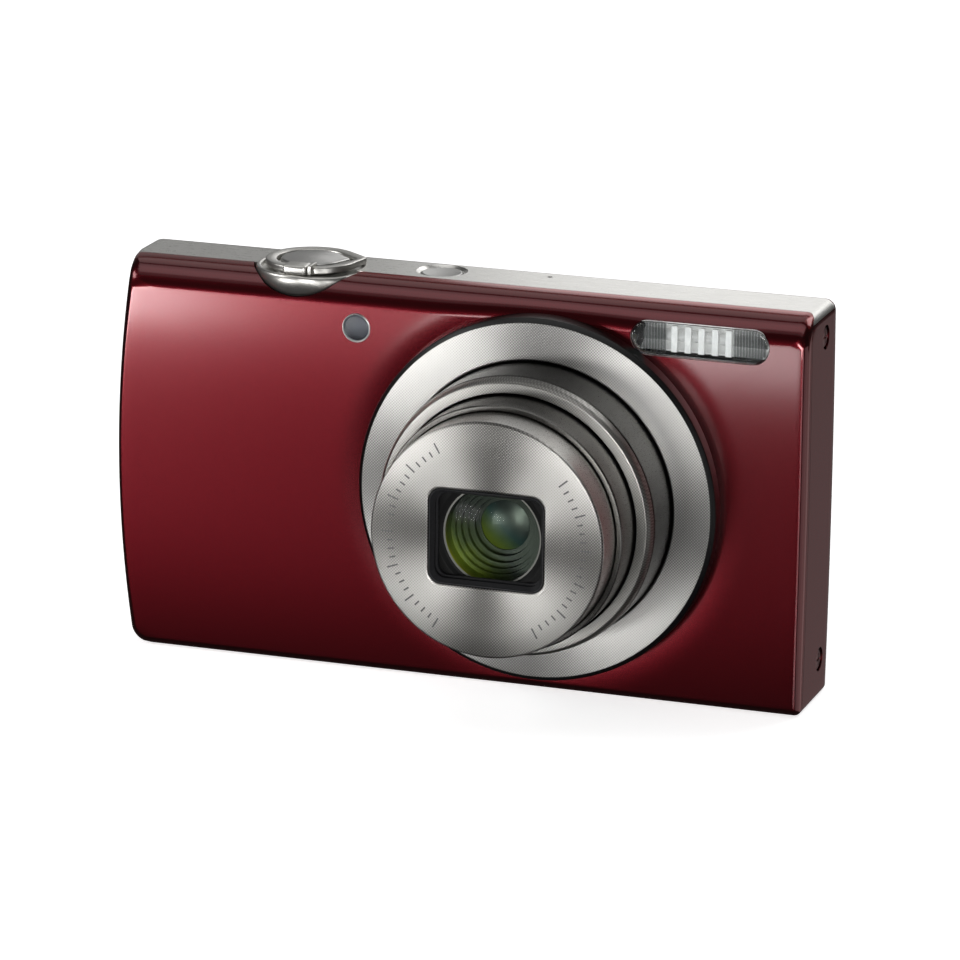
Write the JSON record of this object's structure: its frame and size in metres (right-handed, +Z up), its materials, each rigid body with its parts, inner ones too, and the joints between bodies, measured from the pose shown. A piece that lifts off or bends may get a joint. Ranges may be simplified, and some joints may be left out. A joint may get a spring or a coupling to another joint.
{
  "type": "compact digital camera",
  "caption": "Compact digital camera with a telescoping zoom lens, sliding lens barrier, zoom lever, rear screen and keys, battery door, side cover and tripod socket.",
  "frame": {"origin": "centre of the tripod socket's mouth, in the plane of the base", "axes": "X to the right seen from the front, along the body's width; the lens looks along -Y; Z up"},
  "size_m": [0.0956, 0.0404, 0.0543],
  "materials": {
    "casing_paint": "gloss",
    "top_paint": "satin",
    "ring_metal": "satin",
    "barrel_outer": "satin",
    "barrel_middle": "satin",
    "barrel_front": "satin",
    "control_metal": "satin",
    "black_plastic": "matte",
    "grey_plastic": "satin",
    "button_plastic": "satin",
    "lens_glass": "polished",
    "flash_clear": "polished",
    "lamp_clear": "polished",
    "screen_glass": "polished",
    "screen_matte": "matte",
    "steel": "satin",
    "bright_metal": "polished",
    "contact_gold": "polished",
    "circuit_green": "satin",
    "nylon": "satin",
    "orange_plastic": "satin",
    "battery_wrap": "satin",
    "card_plastic": "satin",
    "lamp_green": "polished",
    "sensor_glass": "polished",
    "screw_dark": "satin"
  },
  "bodies": {
    "casing": {"front_cover": "casing_paint", "rear_cover": "casing_paint", "top_cover": "top_paint", "lens_trim_ring": "ring_metal", "lens_base_tube": "black_plastic", "focus_guide_rods": "steel", "image_sensor": "sensor_glass", "zoom_motor": "steel", "shutter_spring": "steel", "shutter_holder": "black_plastic", "microphone": "steel", "af_lamp": "lamp_clear", "flash_window": "flash_clear", "flash_reflector": "bright_metal", "flash_tube": "flash_clear", "flash_capacitor": "grey_plastic", "screen_window": "screen_glass", "screen_panel": "screen_matte", "status_lamp": "lamp_green", "circuit_boards": "circuit_green", "battery_box": "black_plastic", "battery": "battery_wrap", "battery_contacts": "contact_gold", "card_slot": "steel", "memory_card": "card_plastic", "usb_connector": "steel", "strap_bar": "steel", "tripod_socket": "steel", "speaker": "black_plastic", "casing_screws": "screw_dark"},
    "outer_lens_group": {"outer_barrel": "barrel_outer"},
    "middle_lens_group": {"middle_barrel": "barrel_middle"},
    "front_lens_group": {"front_barrel": "barrel_front", "front_name_ring": "ring_metal", "window_bezel": "black_plastic", "barrier_plate": "black_plastic", "front_lens": "lens_glass", "lens_group_holder": "black_plastic", "rear_lens": "lens_glass", "shutter_unit": "black_plastic"},
    "upper_blade": {"barrier_blade_upper": "black_plastic"},
    "lower_blade": {"barrier_blade_lower": "black_plastic"},
    "focus_group": {"focus_lens_frame": "black_plastic", "focus_lens": "lens_glass"},
    "zoom_drive_ring": {"drive_ring": "nylon"},
    "zoom_pinion": {"motor_pinion": "contact_gold"},
    "shutter_key": {"shutter_button": "control_metal"},
    "zoom_ring": {"zoom_lever": "control_metal"},
    "power_key": {"power_button": "control_metal"},
    "pad_rocker": {"ring_rocker": "steel"},
    "pad_ring": {"four_way_ring": "button_plastic"},
    "centre_key": {"set_button": "button_plastic"},
    "movie_key": {"movie_button": "button_plastic"},
    "playback_key": {"playback_button": "button_plastic"},
    "menu_key": {"menu_button": "button_plastic"},
    "help_key": {"help_button": "button_plastic"},
    "door_slider": {"door_carriage": "steel"},
    "bottom_door": {"battery_door": "casing_paint"},
    "battery_catch": {"battery_lock": "orange_plastic"},
    "side_door": {"terminal_cover": "casing_paint"}
  },
  "joints": [
    {"name": "outer_slide", "type": "slide", "parent": "casing", "child": "outer_lens_group", "axis": [0, 1, 0], "range_m": [0, 0.0087]},
    {"name": "middle_slide", "type": "slide", "parent": "outer_lens_group", "child": "middle_lens_group", "axis": [0, 1, 0], "range_m": [0, 0.0048]},
    {"name": "front_slide", "type": "slide", "parent": "middle_lens_group", "child": "front_lens_group", "axis": [0, 1, 0], "range_m": [0, 0.0048]},
    {"name": "upper_blade_slide", "type": "slide", "parent": "front_lens_group", "child": "upper_blade", "axis": [0, 0, -1], "range_m": [0, 0.0063]},
    {"name": "lower_blade_slide", "type": "slide", "parent": "front_lens_group", "child": "lower_blade", "axis": [0, 0, 1], "range_m": [0, 0.0063]},
    {"name": "focus_slide", "type": "slide", "parent": "casing", "child": "focus_group", "axis": [0, 1, 0], "range_m": [0, 0.0024]},
    {"name": "zoom_drive", "type": "hinge", "parent": "casing", "child": "zoom_drive_ring", "pos_m": [0.012, 0.0019, 0.0265], "axis": [0, 1, 0], "range_deg": [0, 60]},
    {"name": "zoom_pinion_spin", "type": "hinge", "parent": "casing", "child": "zoom_pinion", "pos_m": [0.03207, 0.0019, 0.01245], "axis": [0, 1, 0], "range_deg": [-430, 0]},
    {"name": "shutter_press", "type": "slide", "parent": "casing", "child": "shutter_key", "axis": [0, 0, -1], "range_m": [0, 0.0006], "stiffness_N_per_m": 600, "deforming": ["shutter_spring"]},
    {"name": "zoom_lever_turn", "type": "hinge", "parent": "casing", "child": "zoom_ring", "pos_m": [-0.0225, -0.0016, 0.0535], "axis": [0, 0, 1], "range_deg": [-16, 16], "stiffness_Nm_per_rad": 0.02},
    {"name": "power_press", "type": "slide", "parent": "casing", "child": "power_key", "axis": [0, 0, -1], "range_m": [0, 0.0004], "stiffness_N_per_m": 600},
    {"name": "pad_tip_up_down", "type": "hinge", "parent": "casing", "child": "pad_rocker", "pos_m": [-0.031, 0.0062, 0.0245], "axis": [1, 0, 0], "range_deg": [-1.5, 1.5], "stiffness_Nm_per_rad": 0.06},
    {"name": "pad_tip_left_right", "type": "hinge", "parent": "pad_rocker", "child": "pad_ring", "pos_m": [-0.031, 0.0062, 0.0245], "axis": [0, 0, 1], "range_deg": [-1.5, 1.5], "stiffness_Nm_per_rad": 0.06},
    {"name": "set_press", "type": "slide", "parent": "casing", "child": "centre_key", "axis": [0, -1, 0], "range_m": [0, 0.0004], "stiffness_N_per_m": 600},
    {"name": "movie_press", "type": "slide", "parent": "casing", "child": "movie_key", "axis": [0, -1, 0], "range_m": [0, 0.0004], "stiffness_N_per_m": 600},
    {"name": "playback_press", "type": "slide", "parent": "casing", "child": "playback_key", "axis": [0, -1, 0], "range_m": [0, 0.0004], "stiffness_N_per_m": 600},
    {"name": "menu_press", "type": "slide", "parent": "casing", "child": "menu_key", "axis": [0, -1, 0], "range_m": [0, 0.0004], "stiffness_N_per_m": 600},
    {"name": "help_press", "type": "slide", "parent": "casing", "child": "help_key", "axis": [0, -1, 0], "range_m": [0, 0.0004], "stiffness_N_per_m": 600},
    {"name": "battery_door_slide", "type": "slide", "parent": "casing", "child": "door_slider", "axis": [-1, 0, 0], "range_m": [0, 0.0018]},
    {"name": "battery_door_swing", "type": "hinge", "parent": "door_slider", "child": "bottom_door", "pos_m": [-0.04445, -0.001, 0.00075], "axis": [0, 1, 0], "range_deg": [0, 90]},
    {"name": "battery_lock_slide", "type": "slide", "parent": "casing", "child": "battery_catch", "axis": [0, -1, 0], "range_m": [0, 0.0011], "stiffness_N_per_m": 150},
    {"name": "terminal_cover_swing", "type": "hinge", "parent": "casing", "child": "side_door", "pos_m": [-0.0478, 0.0002, 0.0195], "axis": [0, 0, 1], "range_deg": [0, 100]}
  ],
  "couplings": [
    {"joint": "middle_slide", "follows": "outer_slide", "ratio": 0.5517},
    {"joint": "front_slide", "follows": "outer_slide", "ratio": 0.5517},
    {"joint": "upper_blade_slide", "follows": "outer_slide", "ratio": 0.72299},
    {"joint": "lower_blade_slide", "follows": "outer_slide", "ratio": 0.72299},
    {"joint": "zoom_drive", "follows": "outer_slide", "rad_per_m": 120.25},
    {"joint": "zoom_pinion_spin", "follows": "outer_slide", "rad_per_m": -861.77}
  ]
}
